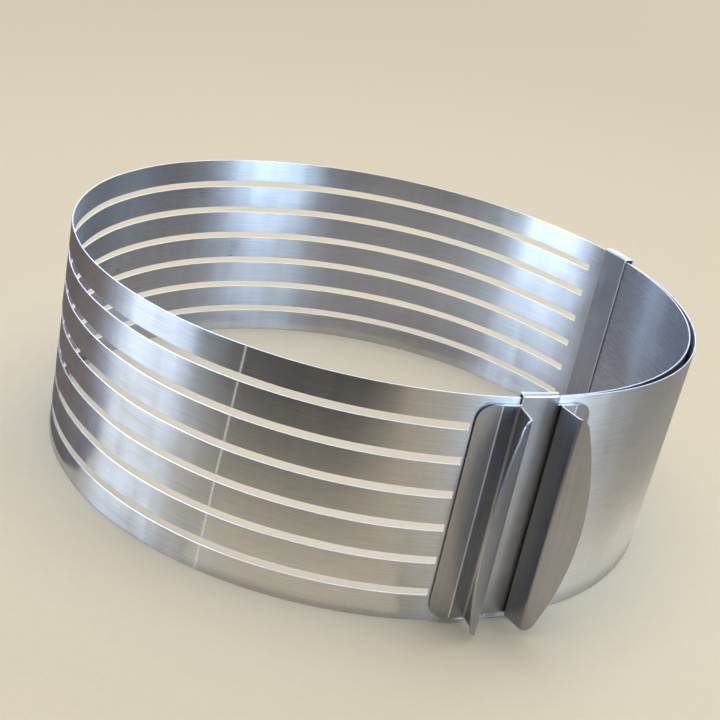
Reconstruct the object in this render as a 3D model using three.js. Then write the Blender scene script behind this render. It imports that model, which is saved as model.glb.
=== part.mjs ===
// Adjustable cake slicer: a springy slotted steel ring whose plain ends overlap and slide, held by a
// winged clip and a keeper.
// Millimetres, +Z up. The ring's axis is Z and its lower edge stands on z = 0.
import * as THREE from 'three';

// Ring, at its smallest setting
const bandRadius = 121.6; // outer face of the slotted band
const bandHeight = 85;
const bandSheet = 0.5;
const slotCount = 6;
const slotHeight = 2.7;
const slotClipMargin = 0.9; // plain band left between the slots and the clip's flange
const slotKeeperMargin = 8; // plain band left between the slots and the keeper
const seamWidth = 1; // butt seam of the band, hidden under the clip
const facetLength = 8.5; // longest facet along the band

// Overlap of the two plain ends
const clipAngle = -62; // degrees round the ring from +X
const keeperAngle = 34.4;
const slideGap = 0.3; // between layers that slide or rest on each other
const tailBulge = 1.8; // how far the outer end springs off the inner one, at its upper edge
const bulgeSkew = 0.66; // under 1 brings the widest place nearer to the clip
const endCover = 3; // how far the hidden edges of the inner end lie behind the legs inside

// Clip with its two wings, and keeper
const clipSheet = 0.7;
const weldGap = 0.2; // between pieces that are spot welded
const hookWidth = 14; // strip that bends over the band's upper edge
const hookLift = 0.6; // clear height over the band's upper edge
const hookRadius = 0.8; // inside bend of the hook
const clipInset = 2.3; // from the clip's plate and wings to the band's upper and lower edges
const rootDistance = 7.7; // from the clip's middle to the foot of a wing
const creaseDistance = 6.2; // from the foot of a wing to the crease of its flange
const plateInset = 0.5; // the carrier plate ends this far inside the crease
const flangeWidth = 13.6;
const flangeCorner = 6;
const wingFoot = 1.2; // bend radius at the foot, in the middle of the sheet
const wingFacet = 9.7; // from the foot to the bend
const wingLean = 8; // degrees that the first facet leans out
const wingFlare = 60; // degrees that the second facet leans out
const wingBend = 1.6;
const wingBulge = 10.4; // widest place of the second facet
const wingEnd = 2.6; // its width at the upper and lower tips
const wingCorner = 1.4; // round of its outer corners
const wingRows = 8; // steps up a wing between its corners
const bendSteps = 4;

const steel = { metalness: 1, roughness: 0.34 };
const polished = { metalness: 1, roughness: 0.2 };
const front = 1;
const back = -1;

const radians = THREE.MathUtils.degToRad;
const arcAngle = (length) => THREE.MathUtils.radToDeg(length / bandRadius);
const onCircle = (radius, across) => Math.sqrt(radius * radius - across * across);

const edgeDistance = rootDistance + flangeWidth;
const clipHalfAngle = THREE.MathUtils.radToDeg(Math.asin(edgeDistance / bandRadius));
const keeperHalfAngle = arcAngle(hookWidth / 2);
const clipHeight = bandHeight - 2 * clipInset;

// Splits each stretch between the given stops into equal steps no longer than the limit.
function divided(stops, limit) {
  const marks = [stops[0]];
  for (let i = 1; i < stops.length; i += 1) {
    const steps = Math.max(1, Math.ceil(Math.abs(stops[i] - stops[i - 1]) / limit));
    for (let k = 1; k <= steps; k += 1) {
      marks.push(THREE.MathUtils.lerp(stops[i - 1], stops[i], k / steps));
    }
  }
  return marks;
}

// A sheet of metal as one closed solid on a grid of cells: place(column, row, side) gives a corner on
// either face, and isOpen(column, row) cuts a cell out. Column times row direction points to the front.
function sheetSolid(columns, rows, place, isOpen = () => false) {
  const positions = [];
  const indices = [];
  const known = new Map();
  const corner = (column, row, side) => {
    const key = `${column} ${row} ${side}`;
    if (!known.has(key)) {
      known.set(key, positions.length / 3);
      positions.push(...place(column, row, side));
    }
    return known.get(key);
  };
  const quad = (a, b, c, d) => indices.push(a, b, c, a, c, d);
  const isMetal = (column, row) =>
    column >= 0 && row >= 0 && column < columns && row < rows && !isOpen(column, row);
  const wall = (c0, r0, c1, r1) => quad(
    corner(c1, r1, front), corner(c0, r0, front), corner(c0, r0, back), corner(c1, r1, back));

  for (let c = 0; c < columns; c += 1) {
    for (let r = 0; r < rows; r += 1) {
      if (!isMetal(c, r)) continue;
      quad(corner(c, r, front), corner(c + 1, r, front),
        corner(c + 1, r + 1, front), corner(c, r + 1, front));
      quad(corner(c, r, back), corner(c, r + 1, back),
        corner(c + 1, r + 1, back), corner(c + 1, r, back));
      if (!isMetal(c, r - 1)) wall(c, r, c + 1, r);
      if (!isMetal(c + 1, r)) wall(c + 1, r, c + 1, r + 1);
      if (!isMetal(c, r + 1)) wall(c + 1, r + 1, c, r + 1);
      if (!isMetal(c - 1, r)) wall(c, r + 1, c, r);
    }
  }
  const geometry = new THREE.BufferGeometry();
  geometry.setAttribute('position', new THREE.Float32BufferAttribute(positions, 3));
  geometry.setIndex(indices);
  geometry.computeVertexNormals();
  return geometry;
}

const polar = (radius, angle, z) =>
  [radius * Math.cos(radians(angle)), radius * Math.sin(radians(angle)), z];

// The outer end springs off the ring between the clip's flange and the keeper.
const bulgeStart = clipAngle + clipHalfAngle;
const bulgeStop = keeperAngle - keeperHalfAngle;

function tailOffset(angle, z) {
  const along = THREE.MathUtils.clamp((angle - bulgeStart) / (bulgeStop - bulgeStart), 0, 1);
  return tailBulge * Math.sin(Math.PI * along ** bulgeSkew) ** 2 * (z / bandHeight);
}

// The long strip: plain outer end from the clip to the keeper, then the slotted stretch.
function slottedBand() {
  const slotStart = keeperAngle + keeperHalfAngle + arcAngle(slotKeeperMargin);
  const slotStop = clipAngle + 360 - clipHalfAngle - arcAngle(slotClipMargin);
  const seam = arcAngle(seamWidth / 2);
  const stops = [clipAngle + seam, bulgeStart, bulgeStop, slotStart, slotStop, clipAngle + 360 - seam];
  const angles = divided(stops, arcAngle(facetLength));

  const stripHeight = (bandHeight - slotCount * slotHeight) / (slotCount + 1);
  const levels = [0];
  for (let i = 0; i <= slotCount; i += 1) {
    levels.push(levels.at(-1) + stripHeight);
    if (i < slotCount) levels.push(levels.at(-1) + slotHeight);
  }
  const place = (c, r, side) => {
    const face = bandRadius - (side === front ? 0 : bandSheet);
    return polar(face + tailOffset(angles[c], levels[r]), angles[c], levels[r]);
  };
  const isSlot = (c, r) => r % 2 === 1 && angles[c] >= slotStart && angles[c] < slotStop;
  return sheetSolid(angles.length - 1, levels.length - 1, place, isSlot);
}

// The plain inner end slides along the inside of the band, both its edges hidden behind legs.
const innerFace = bandRadius - bandSheet - slideGap;

function innerBandEnd() {
  const lap = arcAngle(hookWidth / 2 - endCover);
  const angles = divided([clipAngle - lap, keeperAngle + lap], arcAngle(facetLength));
  const levels = [0, bandHeight];
  const place = (c, r, side) =>
    polar(innerFace - (side === front ? 0 : bandSheet), angles[c], levels[r]);
  return sheetSolid(angles.length - 1, levels.length - 1, place);
}

// Bends the sharp corners of a line of points to arcs, each { at, radius }, with directions kept.
function bentLine(points) {
  const line = [];
  points.forEach(({ at, radius = 0 }, i) => {
    const inward = i > 0 ? at.clone().sub(points[i - 1].at).normalize() : null;
    const outward = i < points.length - 1 ? points[i + 1].at.clone().sub(at).normalize() : null;
    const start = inward ?? outward;
    const stop = outward ?? inward;
    const turn = Math.atan2(start.cross(stop), start.dot(stop));
    if (radius === 0) {
      const middle = start.clone().add(stop).normalize();
      line.push({ at, normal: new THREE.Vector2(middle.y, -middle.x), stretch: 1 / Math.cos(turn / 2) });
      return;
    }
    const setback = radius * Math.tan(Math.abs(turn) / 2);
    const side = Math.sign(turn);
    const from = at.clone().addScaledVector(start, -setback);
    const centre = from.clone().add(new THREE.Vector2(-start.y, start.x).multiplyScalar(side * radius));
    for (let k = 0; k <= bendSteps; k += 1) {
      const normal = new THREE.Vector2(start.y, -start.x);
      normal.rotateAround(new THREE.Vector2(), turn * k / bendSteps);
      line.push({ at: centre.clone().addScaledVector(normal, side * radius), normal, stretch: 1 });
    }
  });
  return line;
}

const onSheet = ({ at, normal, stretch }, side) =>
  at.clone().addScaledVector(normal, side * stretch * clipSheet / 2);

// A strip hooked over the band's upper edge, with a leg down its inside. The leg on the outside may be
// a wider plate. The section is drawn as distance from the ring's axis against height.
function saddle(seatRadius, plateHalf) {
  const outside = seatRadius + slideGap + clipSheet / 2;
  const inside = innerFace - bandSheet - slideGap - clipSheet / 2;
  const crown = bandHeight + hookLift + clipSheet / 2;
  const radius = hookRadius + clipSheet / 2;
  const plateTop = clipInset + clipHeight;
  const section = bentLine([
    { at: new THREE.Vector2(outside, clipInset) },
    { at: new THREE.Vector2(outside, plateTop) },
    { at: new THREE.Vector2(outside, crown), radius },
    { at: new THREE.Vector2(inside, crown), radius },
    { at: new THREE.Vector2(inside, clipInset) },
  ]);
  const hookHalf = hookWidth / 2;
  const across = divided([...new Set([-plateHalf, -hookHalf, 0, hookHalf, plateHalf])], hookHalf / 2);
  const place = (c, r, side) => {
    const corner = onSheet(section[r], side);
    return polar(corner.x, arcAngle(across[c]), corner.y);
  };
  const isBesideHook = (c, r) => r > 0 && Math.abs(across[c] + across[c + 1]) / 2 > hookHalf;
  return sheetSolid(across.length - 1, section.length - 1, place, isBesideHook);
}

// One wing: a flange with a crease and round corners, and a grip bent out in two facets whose outer
// edge is an arc with round ends. The section is drawn as distance from the ring's axis against
// distance across.
function wing(seatRadius, hand) {
  const plateFace = seatRadius + slideGap + clipSheet + weldGap + clipSheet / 2;
  const edgeFace = seatRadius + slideGap + clipSheet / 2;
  const crease = rootDistance + creaseDistance;
  const toward = (angle) => new THREE.Vector2(Math.cos(radians(angle)), Math.sin(radians(angle)));
  const foot = new THREE.Vector2(onCircle(plateFace, rootDistance), rootDistance);
  const bend = foot.clone().addScaledVector(toward(wingLean), wingFacet);
  const tip = bend.clone().addScaledVector(toward(wingFlare), wingBulge);
  const corners = [
    { at: new THREE.Vector2(onCircle(edgeFace, edgeDistance), edgeDistance) },
    { at: new THREE.Vector2(onCircle(plateFace, crease), crease) },
    { at: foot, radius: wingFoot },
    { at: bend, radius: wingBend },
    { at: tip },
  ];
  corners.forEach(({ at }) => { at.y *= hand; });
  const section = bentLine(corners);
  const last = section.length - 1;
  const flangeWay = section[1].at.clone().sub(section[0].at).normalize();
  const tipWay = section[last].at.clone().sub(section[last - 1].at).normalize();

  // Heights: the rounded corners of the flange at both ends, even steps between them.
  const rise = Array.from({ length: bendSteps + 1 }, (_, k) =>
    flangeCorner * (1 - Math.cos(Math.PI / 2 * k / bendSteps)));
  const steps = Array.from({ length: wingRows - 1 }, (_, k) =>
    THREE.MathUtils.lerp(flangeCorner, clipHeight - flangeCorner, (k + 1) / wingRows));
  const levels = [...rise, ...steps, ...rise.map((up) => clipHeight - up).reverse()];

  const half = clipHeight / 2;
  const sag = wingBulge - wingEnd;
  const arcRadius = (half * half + sag * sag) / (2 * sag);
  const cornerCut = (level, radius) => {
    const into = Math.max(0, radius - Math.min(level, clipHeight - level));
    return radius - onCircle(radius, into);
  };
  const tipCut = (level) =>
    arcRadius - onCircle(arcRadius, level - half) + cornerCut(level, wingCorner);
  const place = (c, r, side) => {
    const corner = onSheet(section[c], side);
    if (c === 0) corner.addScaledVector(flangeWay, cornerCut(levels[r], flangeCorner));
    if (c === last) corner.addScaledVector(tipWay, -tipCut(levels[r]));
    return [corner.x, corner.y, clipInset + levels[r]];
  };
  return sheetSolid(last, levels.length - 1, place);
}

function piece(name, geometry, color, finish) {
  const mesh = new THREE.Mesh(geometry, new THREE.MeshStandardMaterial({ color, ...finish }));
  mesh.name = name;
  return mesh;
}

function turned(angle, ...pieces) {
  const group = new THREE.Group();
  group.rotation.z = radians(angle);
  group.add(...pieces);
  return group;
}

// The keeper's outer leg clears the place where the outer end stands off most, so it can slide past.
const carrierHalf = rootDistance + creaseDistance - plateInset;
const keeperSeat = bandRadius + tailBulge;

const cakeSlicer = new THREE.Group();
cakeSlicer.add(
  piece('slotted_band', slottedBand(), 0xb4b3b2, steel),
  piece('inner_band_end', innerBandEnd(), 0xa5a29e, steel),
  turned(clipAngle,
    piece('clip_carrier', saddle(bandRadius, carrierHalf), 0x9b9790, polished),
    piece('left_wing', wing(bandRadius, -1), 0x86858a, polished),
    piece('right_wing', wing(bandRadius, 1), 0x86858a, polished)),
  turned(keeperAngle,
    piece('band_keeper', saddle(keeperSeat, hookWidth / 2), 0x9b9790, polished)),
);

export default cakeSlicer;
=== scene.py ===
import math

import bmesh
import bpy
from mathutils import Matrix, Vector


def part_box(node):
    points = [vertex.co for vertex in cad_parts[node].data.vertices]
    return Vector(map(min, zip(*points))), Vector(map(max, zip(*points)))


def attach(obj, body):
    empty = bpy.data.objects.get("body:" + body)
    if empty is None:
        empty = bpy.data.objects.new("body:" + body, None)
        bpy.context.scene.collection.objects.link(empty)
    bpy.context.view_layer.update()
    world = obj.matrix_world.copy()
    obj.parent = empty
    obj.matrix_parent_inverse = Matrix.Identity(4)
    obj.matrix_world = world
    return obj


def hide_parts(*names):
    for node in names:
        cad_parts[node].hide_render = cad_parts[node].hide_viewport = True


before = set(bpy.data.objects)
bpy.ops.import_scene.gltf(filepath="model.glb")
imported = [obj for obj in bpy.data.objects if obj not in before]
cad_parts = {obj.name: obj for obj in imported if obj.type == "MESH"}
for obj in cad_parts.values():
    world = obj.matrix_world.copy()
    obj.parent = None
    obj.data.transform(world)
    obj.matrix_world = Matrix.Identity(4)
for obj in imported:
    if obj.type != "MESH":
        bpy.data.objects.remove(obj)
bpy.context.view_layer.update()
print("frame loaded:", sorted(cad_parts))

# Metres, degrees round the ring from +X. The ring stands on z = 0 and its axis is Z.
ring = {
    "radius": 0.12158,  # outer face of the slotted band
    "height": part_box("slotted_band")[1].z,
    "sheet": 0.0005,
    "slideGap": 0.0003,
    "clipAngle": -62.0,
    "keeperAngle": 34.4,
    "hookWidth": 0.014,
    "flangeReach": 0.0213,  # from the clip's middle to the edge of a flange
    "tailBulge": 0.0018,  # how far the outer end stands off at its upper edge
    "bulgeSkew": 0.66,  # under 1, the bulge peaks nearer the clip
}


def arcAngle(length):
    return math.degrees(length / ring["radius"])


def smoothStep(t):
    t = min(1.0, max(0.0, t))
    return t * t * (3 - 2 * t)


clipHalf = math.degrees(math.asin(ring["flangeReach"] / ring["radius"]))
keeperHalf = arcAngle(ring["hookWidth"] / 2)
bulgeStart = ring["clipAngle"] + clipHalf
bulgeStop = ring["keeperAngle"] - keeperHalf
innerFace = ring["radius"] - ring["sheet"] - ring["slideGap"]
rounding = 1e-6  # slack where angles are compared


# Sheet metal

def polar(radius, angle, z):
    turn = math.radians(angle)
    return (radius * math.cos(turn), radius * math.sin(turn), z)


# The stops, with even steps between them that are no longer than the limit.
def divided(stops, limit):
    marks = [stops[0]]
    for low, high in zip(stops, stops[1:]):
        steps = max(1, math.ceil(abs(high - low) / limit - rounding))
        marks += [low + (high - low) * k / steps for k in range(1, steps + 1)]
    return marks


def never(column, row):
    return False


# A closed sheet on a grid of cells: place(column, row, side) gives a corner on the front (1) or the
# back (-1) face, and isOpen(column, row) cuts a cell out. Cut edges, and the columns in folds, take
# the second, lighter finish: partly worn metal, partly a painted glint.
def sheetPiece(name, columns, rows, place, isOpen=never, edge=0.0001, edgeSteps=2, folds=()):
    corners = {}
    points = []
    faces = []
    wornAndGlinting = []

    def corner(c, r, side):
        key = (c, r, side)
        if key not in corners:
            corners[key] = len(points)
            points.append(place(c, r, side))
        return corners[key]

    def isMetal(c, r):
        return 0 <= c < columns and 0 <= r < rows and not isOpen(c, r)

    def face(spots, side):
        faces.append([corner(c, r, side) for c, r in spots])

    def wall(c0, r0, c1, r1):
        faces.append((corner(c1, r1, 1), corner(c0, r0, 1), corner(c0, r0, -1), corner(c1, r1, -1)))

    for c in range(columns):
        for r in range(rows):
            if not isMetal(c, r):
                continue
            face([(c, r), (c + 1, r), (c + 1, r + 1), (c, r + 1)], 1)
            face([(c, r), (c, r + 1), (c + 1, r + 1), (c + 1, r)], -1)
            if c in folds:
                wornAndGlinting += [len(faces) - 2, len(faces) - 1]
            if not isMetal(c, r - 1):
                wall(c, r, c + 1, r)
            if not isMetal(c + 1, r):
                wall(c + 1, r, c + 1, r + 1)
            if not isMetal(c, r + 1):
                wall(c + 1, r + 1, c, r + 1)
            if not isMetal(c - 1, r):
                wall(c, r + 1, c, r)
    mesh = bpy.data.meshes.new(name)
    mesh.from_pydata(points, [], faces)
    mesh.materials.append(None)  # the sheet's faces
    mesh.materials.append(None)  # the lighter finish: worn edges with a painted glint
    for index in wornAndGlinting:
        mesh.polygons[index].material_index = 1
    work = bmesh.new()
    work.from_mesh(mesh)
    bmesh.ops.recalc_face_normals(work, faces=work.faces)
    work.to_mesh(mesh)
    work.free()
    piece = bpy.data.objects.new(name, mesh)
    bpy.context.scene.collection.objects.link(piece)
    roundEdges(piece, edge, edgeSteps)
    return piece


# Cut edges get a small round, so that they catch the light as a thin line.
cutEdge = {"sharperThan": 50, "flatFaceWeight": 60}


def roundEdges(piece, width, steps):
    bevel = piece.modifiers.new("cut edge", "BEVEL")
    bevel.width = width
    bevel.segments = steps
    bevel.limit_method = "ANGLE"
    bevel.angle_limit = math.radians(cutEdge["sharperThan"])
    bevel.use_clamp_overlap = True
    # the round takes the lighter second finish: worn metal with a painted glint
    bevel.material = 1
    weighted = piece.modifiers.new("even shading", "WEIGHTED_NORMAL")
    weighted.weight = cutEdge["flatFaceWeight"]
    piece.data.polygons.foreach_set("use_smooth", [True] * len(piece.data.polygons))
    bpy.context.view_layer.update()
    graph = bpy.context.evaluated_depsgraph_get()
    shaped = bpy.data.meshes.new_from_object(piece.evaluated_get(graph))
    piece.modifiers.clear()
    old = piece.data
    shaped.name = piece.name
    piece.data = shaped
    bpy.data.meshes.remove(old)
    # the brushed grain runs round the ring's axis on every piece
    shaped.use_auto_texspace = False
    shaped.texspace_location = (0, 0, ring["height"] / 2)
    shaped.texspace_size = (ring["radius"], ring["radius"], ring["height"])


def dress(piece, finishes, body, node):
    for k, finish in enumerate(finishes):
        piece.data.materials[k] = finish
    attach(piece, body)
    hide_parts(node)


# Bends the corners of a line of points, each (point, radius), to arcs. Each spot of the result is
# (point, sheet's normal, stretch of the sheet at a sharp corner).
def bentLine(points, bendSteps=8):
    line = []
    for i, (at, radius) in enumerate(points):
        inward = (at - points[i - 1][0]).normalized() if i > 0 else None
        outward = (points[i + 1][0] - at).normalized() if i < len(points) - 1 else None
        start = inward or outward
        stop = outward or inward
        turn = math.atan2(start.x * stop.y - start.y * stop.x, start.dot(stop))
        if radius == 0:
            middle = (start + stop).normalized()
            line.append((at, Vector((middle.y, -middle.x)), 1 / math.cos(turn / 2)))
            continue
        setback = radius * math.tan(abs(turn) / 2)
        side = math.copysign(1, turn)
        centre = at - start * setback + Vector((-start.y, start.x)) * side * radius
        for k in range(bendSteps + 1):
            normal = Matrix.Rotation(turn * k / bendSteps, 2) @ Vector((start.y, -start.x))
            line.append((centre + normal * side * radius, normal, 1.0))
    return line


# Slotted band

band = {
    "slots": 6,
    "slotHeight": 0.0027,
    "slotClipMargin": 0.0009,
    "slotKeeperMargin": 0.008,
    "seam": 0.0003,  # butt seam, hidden under the clip
    "columnStep": 1.0,  # degrees
    "stripRows": 4,
    "wave": 0.0001,  # how far a strip bows in and out between the slots' ends
    # share, waves round the ring, how many strips differ in that, and the shift from strip to strip
    "bows": [(1.0, 5, 3, 1.7), (0.6, 13, 4, 2.3), (0.3, 23, 3, 0.7)],
    "tilt": 0.00006,  # how far its edges lean in and out
    "lean": (2, 4, 0.9),
    "fade": 9.0,  # degrees over which the strips settle to the plain ends
    "clearFrom": 182.0,  # from here to clearTo the bows move outward, clear of the inner end's way
    "clearTo": 212.0,
    "edge": 0.00011,
    "score": 250.8,  # a thin line across all the strips, in degrees, in the lighter finish: a worn score with a painted glint
    "scoreLean": 2.3,  # how far its upper end is ahead of its lower one
    "scoreWidth": 0.42,
}


def tailOffset(angle, z):
    along = min(1.0, max(0.0, (angle - bulgeStart) / (bulgeStop - bulgeStart)))
    return ring["tailBulge"] * math.sin(math.pi * along ** ring["bulgeSkew"]) ** 2 * z / ring["height"]


def buildBand(finishes):
    slotStart = ring["keeperAngle"] + keeperHalf + arcAngle(band["slotKeeperMargin"])
    slotStop = ring["clipAngle"] + 360 - clipHalf - arcAngle(band["slotClipMargin"])
    seam = arcAngle(band["seam"] / 2)
    scoreStart = band["score"] - band["scoreWidth"] / 2
    stops = [ring["clipAngle"] + seam, bulgeStart, bulgeStop, slotStart, scoreStart,
             scoreStart + band["scoreWidth"], slotStop, ring["clipAngle"] + 360 - seam]
    angles = divided(stops, band["columnStep"])

    stripHeight = (ring["height"] - band["slots"] * band["slotHeight"]) / (band["slots"] + 1)
    levels = [0.0]
    strips = []  # (strip number, place across it from -1 to 1) of each level
    slotRows = set()
    for i in range(band["slots"] + 1):
        low = i * (stripHeight + band["slotHeight"])
        if i > 0:
            slotRows.add(len(levels) - 1)
            levels.append(low)
        strips.append((i, -1.0))
        for k in range(1, band["stripRows"] + 1):
            levels.append(low + stripHeight * k / band["stripRows"])
            strips.append((i, 2 * k / band["stripRows"] - 1))

    mostBow = sum(share for share, *wave in band["bows"])

    def ripple(angle, strip, waves, spread, shift):
        return math.sin(math.radians(angle) * (waves + strip % spread) + shift * strip)

    def stripShift(angle, strip, across):
        settle = smoothStep((angle - slotStart) / band["fade"])
        settle *= smoothStep((slotStop - angle) / band["fade"])
        clear = smoothStep((angle - band["clearFrom"]) / (band["clearTo"] - band["clearFrom"]))
        bow = sum(share * ripple(angle, strip, *wave) for share, *wave in band["bows"])
        lean = across * ripple(angle, strip, *band["lean"])
        inward = 1 - clear
        return settle * (band["wave"] * (bow - mostBow * inward) + band["tilt"] * (lean - inward))

    def place(c, r, side):
        face = ring["radius"] - (0 if side > 0 else ring["sheet"])
        angle, z = angles[c], levels[r]
        away = abs(angle - band["score"]) / band["fade"]
        lean = band["scoreLean"] * (z / ring["height"] - 0.5) * smoothStep(1 - away)
        return polar(face + tailOffset(angle, z) + stripShift(angle, *strips[r]), angle + lean, z)

    def isSlot(c, r):
        return r in slotRows and slotStart - rounding <= angles[c] < slotStop - rounding

    # the score line's column takes the lighter finish too: a worn score with a painted glint
    folds = [angles.index(scoreStart)]
    piece = sheetPiece("slotted_band_sheet", len(angles) - 1, len(levels) - 1, place, isSlot,
                       band["edge"], folds=folds)
    dress(piece, finishes, "ring", "slotted_band")


# Inner end of the band

innerEnd = {"cover": 0.003, "columnStep": 1.0, "rows": 12, "edge": 0.00011}


def buildInnerEnd(finishes):
    lap = arcAngle(ring["hookWidth"] / 2 - innerEnd["cover"])
    angles = divided([ring["clipAngle"] - lap, ring["keeperAngle"] + lap], innerEnd["columnStep"])
    levels = [ring["height"] * k / innerEnd["rows"] for k in range(innerEnd["rows"] + 1)]

    def place(c, r, side):
        return polar(innerFace - (0 if side > 0 else ring["sheet"]), angles[c], levels[r])

    piece = sheetPiece("inner_end_sheet", len(angles) - 1, len(levels) - 1, place, edge=innerEnd["edge"])
    dress(piece, finishes, "inner_end", "inner_band_end")


# Clip: carrier and wings, and the keeper

clip = {
    "sheet": 0.0007,
    "weldGap": 0.0002,
    "keeperGap": 0.00005,  # the keeper is pressed on to the inner end and moves with it
    "hookLift": 0.0006,
    "hookRadius": 0.0004,
    "inset": 0.0023,  # from the plate and wings to the band's edges
    "root": 0.0077,  # from the clip's middle to the foot of a wing
    "crease": 0.0139,  # from the clip's middle to the crease of a flange
    "plateInset": 0.0005,
    "flangeCorner": 0.006,
    "foot": 0.0012,  # bend radius where the grip leaves the flange
    "facet": 0.0097,  # from there to the bend between the grip's facets
    "lean": 8.0,  # degrees of the first facet from straight out
    "flare": 60.0,  # and of the second
    "bend": 0.0016,  # bend radius between them
    "fold": 0.003,  # bend radius of the flange's crease
    "bulge": 0.0104,  # width of the second facet at its middle
    "end": 0.0026,  # and at its ends
    "tipRound": 0.003,
    "rows": 60,
    "step": 0.0012,
    "edge": 0.00028,
    "edgeSteps": 3,
}


def onSheet(spot, side):
    at, normal, stretch = spot
    return at + normal * side * stretch * clip["sheet"] / 2


# A strip hooked over the band's upper edge; the outer leg may be a wider plate.
def saddlePiece(name, seatRadius, legGap, plateHalf, middleAngle):
    outside = seatRadius + ring["slideGap"] + clip["sheet"] / 2
    inside = innerFace - ring["sheet"] - legGap - clip["sheet"] / 2
    crown = ring["height"] + clip["hookLift"] + clip["sheet"] / 2
    radius = clip["hookRadius"] + clip["sheet"] / 2
    plateTop = ring["height"] - clip["inset"]
    section = bentLine([
        (Vector((outside, clip["inset"])), 0),
        (Vector((outside, plateTop)), 0),
        (Vector((outside, crown)), radius),
        (Vector((inside, crown)), radius),
        (Vector((inside, clip["inset"])), 0),
    ])
    hookHalf = ring["hookWidth"] / 2
    stops = sorted({-plateHalf, -hookHalf, 0, hookHalf, plateHalf})
    across = divided(stops, clip["step"])

    def place(c, r, side):
        corner = onSheet(section[r], side)
        return polar(corner.x, middleAngle + arcAngle(across[c]), corner.y)

    def isBesideHook(c, r):
        return r > 0 and abs(across[c] + across[c + 1]) / 2 > hookHalf

    return sheetPiece(name, len(across) - 1, len(section) - 1, place, isBesideHook, clip["edge"],
                      clip["edgeSteps"])


# One wing: creased flange with round corners, and a grip bent out in two facets with an arc edge.
def wingPiece(name, hand):
    seat = ring["radius"]
    plateFace = seat + ring["slideGap"] + clip["sheet"] + clip["weldGap"] + clip["sheet"] / 2
    edgeFace = seat + ring["slideGap"] + clip["sheet"] / 2
    low = clip["inset"]
    tall = ring["height"] - 2 * clip["inset"]

    def seated(radius, across):
        return Vector((math.sqrt(radius * radius - across * across), across))

    def toward(angle):
        return Vector((math.cos(math.radians(angle)), math.sin(math.radians(angle))))

    foot = seated(plateFace, clip["root"])
    bend = foot + toward(clip["lean"]) * clip["facet"]
    tip = bend + toward(clip["flare"]) * clip["bulge"]
    corners = [
        (seated(edgeFace, ring["flangeReach"]), 0),
        (seated(plateFace, clip["crease"]), clip["fold"]),
        (foot, clip["foot"]),
        (bend, clip["bend"]),
        (tip, 0),
    ]
    handed = [(Vector((at.x, at.y * hand)), radius) for at, radius in corners]
    bent = bentLine(handed)
    bendSteps = (len(bent) - 2) // 3 - 1  # three corners are bent and the two ends are not

    # Finer steps along the straight stretches, each with its share of the flange and of the tip facet.
    section = []
    folds = []
    last = len(bent) - 1
    for i, (at, normal, stretch) in enumerate(bent):
        if i > 0:
            before = bent[i - 1][0]
            run = at - before
            steps = max(1, math.ceil(run.length / clip["step"]))
            straight = run.normalized()
            if 1 < i <= 1 + bendSteps:
                folds.append(len(section) - 1)
            for k in range(1, steps):
                t = k / steps
                flangeShare = 1 - t if i == 1 else 0.0
                tipShare = t if i == last else 0.0
                across = Vector((straight.y, -straight.x))
                section.append((before + run * t, across, 1.0, flangeShare, tipShare))
        section.append((at, normal, stretch, float(i == 0), float(i == last)))
    flangeWay = (bent[1][0] - bent[0][0]).normalized()
    tipWay = (bent[last][0] - bent[last - 1][0]).normalized()

    half = tall / 2
    sag = clip["bulge"] - clip["end"]
    arcRadius = (half * half + sag * sag) / (2 * sag)
    # rows lie closer together at the rounded ends
    heights = [tall * (0.5 - 0.5 * math.cos(math.pi * k / clip["rows"])) for k in range(clip["rows"] + 1)]

    def tipCut(height):
        return arcRadius - math.sqrt(arcRadius ** 2 - (height - half) ** 2)

    def cornerCut(height):
        into = max(0.0, clip["flangeCorner"] - min(height, tall - height))
        return clip["flangeCorner"] - math.sqrt(clip["flangeCorner"] ** 2 - into ** 2)

    # how far the end of each column is drawn back by the round at the wing's outer corners
    walked = [0.0]
    for a, b in zip(section, section[1:]):
        walked.append(walked[-1] + (b[0] - a[0]).length)
    facetLength = (bent[last][0] - bent[last - 1][0]).length
    bendEnd = walked[-1] - facetLength
    endWidth = facetLength - sag
    turn = math.pi / 2 - math.asin(half / arcRadius)
    setback = clip["tipRound"] * math.tan(turn / 2)

    def endLift(c):
        share = section[c][-1]  # of the tip facet
        reach = share * (endWidth + setback * math.cos(turn)) if share > 0 else walked[c] - bendEnd
        into = min(reach - endWidth + setback, clip["tipRound"] * math.sin(turn))
        return clip["tipRound"] - math.sqrt(clip["tipRound"] ** 2 - into ** 2) if into > 0 else 0.0

    def place(c, r, side):
        at, normal, stretch, flangeShare, tipShare = section[c]
        lift = endLift(c)
        height = lift + heights[r] * (tall - 2 * lift) / tall
        corner = onSheet((at, normal, stretch), side)
        corner = corner + flangeWay * flangeShare * cornerCut(heights[r])
        corner = corner - tipWay * tipShare * tipCut(height)
        flat = Matrix.Rotation(math.radians(ring["clipAngle"]), 2) @ corner
        return (flat.x, flat.y, low + height)

    return sheetPiece(name, len(section) - 1, clip["rows"], place, edge=clip["edge"],
                      edgeSteps=clip["edgeSteps"], folds=folds)


def buildClip(finishes):
    plateHalf = clip["crease"] - clip["plateInset"]
    carrier = saddlePiece("clip_carrier_sheet", ring["radius"], ring["slideGap"], plateHalf,
                          ring["clipAngle"])
    dress(carrier, finishes, "ring", "clip_carrier")
    for side, hand in (("left", -1), ("right", 1)):
        wing = wingPiece(side + "_wing_sheet", hand)
        dress(wing, finishes, "ring", side + "_wing")


def buildKeeper(finishes):
    seat = ring["radius"] + ring["tailBulge"]
    keeper = saddlePiece("keeper_strip", seat, clip["keeperGap"], ring["hookWidth"] / 2,
                         ring["keeperAngle"])
    dress(keeper, finishes, "inner_end", "band_keeper")


# Finishes

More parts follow.
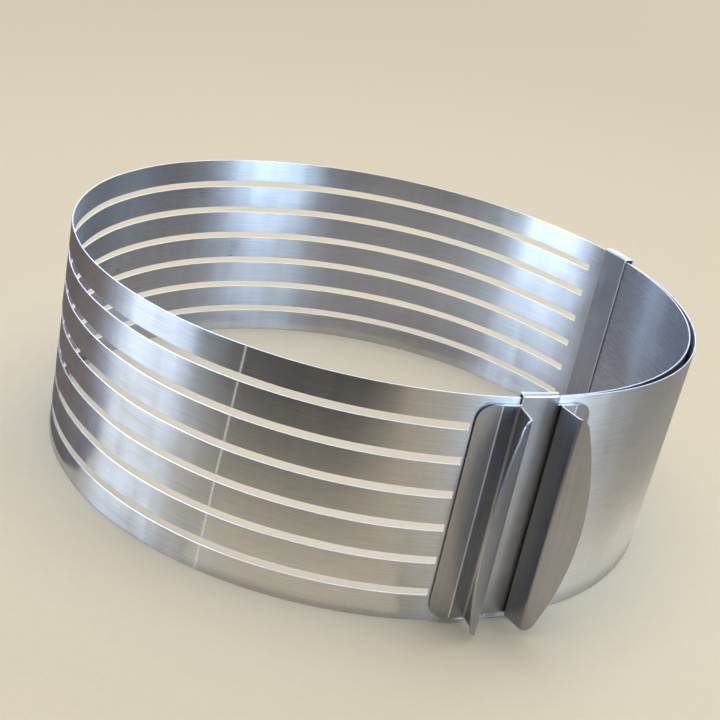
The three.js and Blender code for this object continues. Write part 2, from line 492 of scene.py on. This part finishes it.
class Signal:
    def __init__(self, finish, socket):
        self.finish = finish
        self.socket = socket

    def math(self, operation, first, second):
        return self.finish.node("ShaderNodeMath", {"operation": operation}, {0: first, 1: second})

    def __add__(self, other):
        return self.math("ADD", self, other)

    def __radd__(self, other):
        return self.math("ADD", other, self)

    def __sub__(self, other):
        return self.math("SUBTRACT", self, other)

    def __rsub__(self, other):
        return self.math("SUBTRACT", other, self)

    def __mul__(self, other):
        return self.math("MULTIPLY", self, other)

    def __rmul__(self, other):
        return self.math("MULTIPLY", other, self)


class Finish:
    def __init__(self, name):
        self.material = bpy.data.materials.new(name)
        self.material.use_nodes = True
        self.tree = self.material.node_tree
        self.shader = next(n for n in self.tree.nodes if n.type == "BSDF_PRINCIPLED")

    def node(self, kind, settings=None, inputs=None, output=0):
        made = self.tree.nodes.new(kind)
        for name, value in (settings or {}).items():
            setattr(made, name, value)
        for name, value in (inputs or {}).items():
            self.feed(made.inputs[name], value)
        return Signal(self, made.outputs[output])

    def feed(self, socket, value):
        if isinstance(value, Signal):
            self.tree.links.new(value.socket, socket)
        else:
            socket.default_value = value

    def wear(self, **sockets):
        for name, value in sockets.items():
            self.feed(self.shader.inputs[name.replace("_", " ")], value)

    def mixColour(self, share, low, high):
        # inputs 6 and 7 and output 2 are the node's colours
        return self.node("ShaderNodeMix", {"data_type": "RGBA"}, {0: share, 6: low, 7: high}, output=2)

    def noise(self, stretch, detail, roughness):
        place = self.node("ShaderNodeTexCoord", output="Object")
        # turned after the stretch, so that the noise's own grid shows nowhere on the ring
        scaled = self.node("ShaderNodeMapping", {},
                           {"Vector": place, "Scale": stretch, "Rotation": brushing["noiseTurn"]})
        return self.node("ShaderNodeTexNoise", {},
                         {"Vector": scaled, "Scale": 1.0, "Detail": detail, "Roughness": roughness})


# What the finishes share
brushing = {
    "noiseTurn": (0.35, 0.27, 0),  # radians
    "fineShare": 0.4,  # fine grain against coarse
    "limit": 0.2,  # the grain is cut off here
    "streakShade": 2.0,  # how far each of these shifts the steel from dark to light
    "smudgeShade": 0.6,
    "mottleShade": 0.5,
    "depth": 0.00002,  # of the bump
}

bandLook = {
    "light": (0.745, 0.737, 0.725, 1),
    "dark": (0.515, 0.507, 0.495, 1),
    "metal": 1.0,
    "roughness": 0.32,
    "grainRoughness": 0.16,
    "smudgeRoughness": 0.12,
    "anisotropy": 0.93,
    "grain": (45, 45, 2700),  # features per metre: long round the ring, fine across
    "fineGrain": (150, 150, 6500),
    "smudge": (30, 30, 55),
    "mottle": (170, 170, 20),
    "bump": 0.25,
}

# The inner end's steel is smoother than the band's. It is also painted darker and bluer: painted shade,
# where the inner end lies in shade inside the ring.
shadedInnerLook = dict(bandLook, light=(0.60, 0.61, 0.66, 1), dark=(0.40, 0.405, 0.44, 1), roughness=0.26,
                 smudgeRoughness=0.05, mottle=(60, 60, 12))


def brushedSteel(name, look):
    finish = Finish(name)
    # each noise is taken about its middle, 0.5
    coarse = finish.noise(look["grain"], detail=3.0, roughness=0.6)
    fine = finish.noise(look["fineGrain"], detail=2.0, roughness=0.6)
    grain = coarse * (1 - brushing["fineShare"]) + fine * brushing["fineShare"] - 0.5
    streaks = finish.node("ShaderNodeClamp", {},
                          {"Value": grain, "Min": -brushing["limit"], "Max": brushing["limit"]})
    smudge = finish.noise(look["smudge"], detail=3.0, roughness=0.55) - 0.5
    mottle = finish.noise(look["mottle"], detail=2.0, roughness=0.5) - 0.5
    stains = smudge * brushing["smudgeShade"] + mottle * brushing["mottleShade"]
    shade = streaks * brushing["streakShade"] + stains
    dullness = streaks * look["grainRoughness"] + (smudge + mottle) * look["smudgeRoughness"]
    finish.wear(
        Base_Color=finish.mixColour(shade + 0.5, look["dark"], look["light"]),
        Roughness=dullness + look["roughness"],
        Metallic=look["metal"],
        Anisotropic=look["anisotropy"],
        Anisotropic_Rotation=0.25,  # the gloss spreads across the grain
        Normal=finish.node("ShaderNodeBump", {},
                           {"Strength": look["bump"], "Distance": brushing["depth"], "Height": streaks}),
    )
    return finish.material


clipLook = {
    "light": (0.455, 0.452, 0.462, 1),
    "dark": (0.345, 0.342, 0.352, 1),
    "metal": 1.0,
    "roughness": 0.34,
    "grainRoughness": 0.10,
    "smudgeRoughness": 0.10,
    "anisotropy": 0.4,
    "grain": (1200, 1200, 24),  # drawn along the wings
    "fineGrain": (2200, 2200, 60),
    "smudge": (60, 60, 45),
    "mottle": (140, 140, 160),
    "bump": 0.05,
}

# On cut edges, folds and the score line: lighter and less metallic than the sheets, so that they show bright
# under any lamp. This is partly worn metal and partly a painted glint.
edgeWearAndGlintLook = {
    "light": (0.90, 0.90, 0.92, 1),
    "dark": (0.68, 0.68, 0.69, 1),
    "metal": 0.6,
    "roughness": 0.46,
    "grainRoughness": 0.10,
    "smudgeRoughness": 0.20,
    "anisotropy": 0.0,
    "grain": (400, 400, 900),
    "fineGrain": (2000, 2000, 2000),
    "smudge": (90, 90, 120),
    "mottle": (260, 260, 260),
    "bump": 0.1,
}

edgeWearAndGlintFinish = brushedSteel("worn_edge_steel_painted_glint", edgeWearAndGlintLook)
bandFinishes = (brushedSteel("brushed_band_steel", bandLook), edgeWearAndGlintFinish)
innerFinishes = (brushedSteel("smooth_band_steel_painted_shade", shadedInnerLook), edgeWearAndGlintFinish)
clipFinishes = (brushedSteel("polished_clip_steel", clipLook), edgeWearAndGlintFinish)
buildBand(bandFinishes)
buildInnerEnd(innerFinishes)
print("band built")
buildClip(clipFinishes)
buildKeeper(clipFinishes)
print("clip and keeper built")


# Studio

studio = {
    "floor": (0.68, 0.635, 0.53, 1),
    "floorSize": 40.0,
    "floorDrop": 0.0002,
    "floorRoughness": 0.8,
    "speck": (300, 300, 300),
    "speckShade": 0.94,
    "cardRoughness": 0.9,
    "world": (0.55, 0.53, 0.49, 1),
}


def flatStage(name, corners, finish):
    mesh = bpy.data.meshes.new(name)
    mesh.from_pydata(corners, [], [tuple(range(len(corners)))])
    mesh.materials.append(finish)
    made = bpy.data.objects.new(name, mesh)
    bpy.context.scene.collection.objects.link(made)
    return made


def buildFloor():
    half = studio["floorSize"] / 2
    z = -studio["floorDrop"]
    finish = Finish("pale_floor")
    speck = finish.noise(studio["speck"], detail=3.0, roughness=0.6)
    warm = studio["floor"]
    deep = tuple(c * studio["speckShade"] for c in warm[:3]) + (1,)
    finish.wear(
        Base_Color=finish.mixColour(speck, deep, warm),
        Roughness=studio["floorRoughness"],
        Specular_IOR_Level=0.0,
    )
    corners = [(-half, -half, z), (half, -half, z), (half, half, z), (-half, half, z)]
    flatStage("floor", corners, finish.material)


# Outlines of a board between two arcs round the ring, and of a round one.
def arcBoard(near, far, start, stop, steps=8):
    turns = [start + (stop - start) * k / steps for k in range(steps + 1)]
    return [polar(near, a, 0)[:2] for a in turns] + [polar(far, a, 0)[:2] for a in reversed(turns)]


def roundBoard(radius, sides=24):
    return [polar(radius, 360 * k / sides, 0)[:2] for k in range(sides)]


# Cards that only the steel sees, as flags and bounce boards in a studio.
cards = {
    "frontFlag": {"z": 0.004, "tint": (0.012, 0.012, 0.016, 1),
                  "outline": [(-1.6, -2.4), (0.5, -2.4), (0.14, -0.5), (0.055, -0.275), (0.0, -0.203),
                              (-0.2, -0.173), (-1.6, -0.173)]},
    "frontGlow": {"z": 0.001, "tint": (0.98, 0.90, 0.72, 1), "outline": arcBoard(0.1235, 0.148, -114, -76)},
    "frontBlue": {"z": 0.003, "tint": (0.54, 0.60, 0.70, 1),
                  "outline": [(0.15, -0.22), (0.2, -0.17), (0.6, -0.3), (0.6, -0.9), (0.2, -0.6),
                              (0.14, -0.4)]},
    "leftFlag": {"z": 0.003, "tint": (0.16, 0.11, 0.08, 1),
                 "outline": [(-1.6, -0.10), (-0.10, -0.075), (-0.112, 0.0), (-0.112, 0.12), (-0.16, 1.6),
                             (-1.6, 1.6)]},
    "rightGlow": {"z": 0.001, "tint": (0.98, 0.92, 0.78, 1), "outline": arcBoard(0.1245, 0.150, -44, 20)},
    "rightCard": {"z": 0.003, "tint": (0.44, 0.41, 0.36, 1),
                  "outline": [(0.165, -0.12), (1.6, -0.3), (1.6, 1.6), (0.2, 0.6), (0.165, 0.15)]},
    "rightFar": {"z": 0.0035, "tint": (0.29, 0.285, 0.28, 1),
                 "outline": [(0.235, -0.09), (1.6, -0.2), (1.6, 1.6), (0.27, 0.6), (0.235, 0.15)]},
    "backFlag": {"z": 0.003, "tint": (0.07, 0.075, 0.10, 1), "outline": arcBoard(0.126, 0.5, 44, 168)},
    "innerCard": {"z": 0.002, "tint": (0.355, 0.318, 0.295, 1), "outline": roundBoard(0.117)},
    "innerGlow": {"z": 0.0028, "tint": (0.80, 0.90, 1.0, 1),
                  "outline": [(-0.005, 0.02), (-0.03, -0.005), (-0.08, -0.04), (-0.105, 0.02), (-0.09, 0.07),
                              (-0.005, 0.075)]},
    "innerSky": {"z": 0.0028, "tint": (0.42, 0.41, 0.41, 1),
                 "outline": [(0.0, 0.076), (0.06, 0.07), (0.064, 0.08), (0.05, 0.09), (0.02, 0.1),
                             (0.0, 0.1)]},
    "innerShade": {"z": 0.0025, "tint": (0.05, 0.06, 0.11, 1),
                   "outline": [(0.05, -0.01), (0.11, -0.03), (0.116, 0.02), (0.103, 0.058), (0.085, 0.075),
                               (0.06, 0.065)]},
}


def buildCards():
    for name, card in cards.items():
        finish = Finish(name)
        finish.wear(Base_Color=card["tint"], Roughness=studio["cardRoughness"])
        board = flatStage(name, [(x, y, card["z"]) for x, y in card["outline"]], finish.material)
        board.visible_camera = False
        board.visible_diffuse = False
        board.visible_shadow = False


softboxes = {
    "leftWindow": {"at": (-0.70, -0.205, 0.40), "look": (0, 0, 0.10), "size": (0.48, 0.66), "watts": 8.6,
                   "tint": (0.56, 0.73, 1.0), "lights": "steel"},
    "rightWindow": {"at": (0.67, -0.44, 0.40), "look": (0, -0.05, 0.10), "size": (0.56, 0.66), "watts": 8.6,
                    "tint": (0.55, 0.75, 1.0), "lights": "steel"},
    "rightFill": {"at": (0.81, -0.10, 0.40), "look": (0, 0, 0.10), "size": (0.30, 0.66), "watts": 0.9,
                  "tint": (0.58, 0.74, 1.0), "lights": "steel"},
    "backPanel": {"at": (0, 1.3, 0.68), "look": (0, 0, 0.05), "size": (1.0, 0.75), "watts": 9.0,
                  "tint": (0.66, 0.78, 1.0), "lights": "steel"},
    "skyPanel": {"at": (-0.6, 0.55, 0.93), "look": (0.1, 0.07, 0.09), "size": (0.9, 0.7), "watts": 6.0,
                 "tint": (0.62, 0.71, 1.0), "lights": "steel"},
    "innerStripe": {"at": (0.0234, 0.1118, 0.032), "look": (0.114, 0.041, 0.05), "size": (0.008, 0.06),
                    "watts": 0.0012, "tint": (0.55, 0.70, 1.0), "lights": "steel"},
    "topPanel": {"at": (0, 0.25, 1.0), "look": (0, 0, 0.05), "size": (1.2, 0.7), "watts": 7.0,
                 "tint": (0.72, 0.82, 1.0), "lights": "steel"},
    "backdrop": {"at": (0.9, 2.2, 1.8), "look": (0.9, 2.2, 0), "size": (2.0, 1.6), "watts": 19,
                 "tint": (1.0, 0.96, 0.90), "lights": "floor"},
    "overhead": {"at": (0.05, -0.05, 1.4), "look": (0.0, 0.0, 0), "size": (1.3, 1.3), "watts": 13,
                 "tint": (1.0, 0.96, 0.90), "lights": "floor"},
}


def buildLights():
    for name, box in softboxes.items():
        data = bpy.data.lights.new(name, "AREA")
        data.shape = "RECTANGLE"
        data.size, data.size_y = box["size"]
        data.energy = box["watts"]
        data.color = box["tint"]
        lamp = bpy.data.objects.new(name, data)
        lamp.location = box["at"]
        aim = Vector(box["look"]) - Vector(box["at"])
        lamp.rotation_euler = aim.to_track_quat("-Z", "Y").to_euler()
        lamp.visible_camera = False
        lamp.visible_diffuse = box["lights"] != "steel"
        lamp.visible_glossy = box["lights"] != "floor"
        bpy.context.scene.collection.objects.link(lamp)
    world = bpy.data.worlds.new("studio")
    world.use_nodes = True
    world.node_tree.nodes["Background"].inputs["Color"].default_value = studio["world"]
    world.cycles_visibility.glossy = False  # it lights the floor, and the steel doesn't mirror it
    bpy.context.scene.world = world


# The camera looks along +Y and down, rolled as the photograph shows the ring leaning.
camera = {
    "at": (-0.001879, -0.498773, 0.248398),
    "down": 22.69,
    "roll": 11.94,
    "focalPixels": 1330.42,
    "framePixels": 720,
    "sensor": 36.0,
    "farthest": 50,
}


def buildCamera():
    data = bpy.data.cameras.new("camera")
    data.sensor_width = camera["sensor"]
    data.lens = camera["focalPixels"] / camera["framePixels"] * camera["sensor"]
    data.clip_end = camera["farthest"]
    down = math.radians(camera["down"])
    roll = math.radians(camera["roll"])
    back = Vector((0, -math.cos(down), math.sin(down)))
    right = Vector((1, 0, 0))
    up = back.cross(right)
    across = right * math.cos(roll) + up * math.sin(roll)
    upright = up * math.cos(roll) - right * math.sin(roll)
    made = bpy.data.objects.new("camera", data)
    turn = Matrix((across, upright, back)).transposed()
    made.matrix_world = Matrix.Translation(camera["at"]) @ turn.to_4x4()
    bpy.context.scene.collection.objects.link(made)
    bpy.context.scene.camera = made


buildFloor()
buildCards()
buildLights()
buildCamera()
bpy.context.scene.view_settings.view_transform = "Standard"
print("studio built")
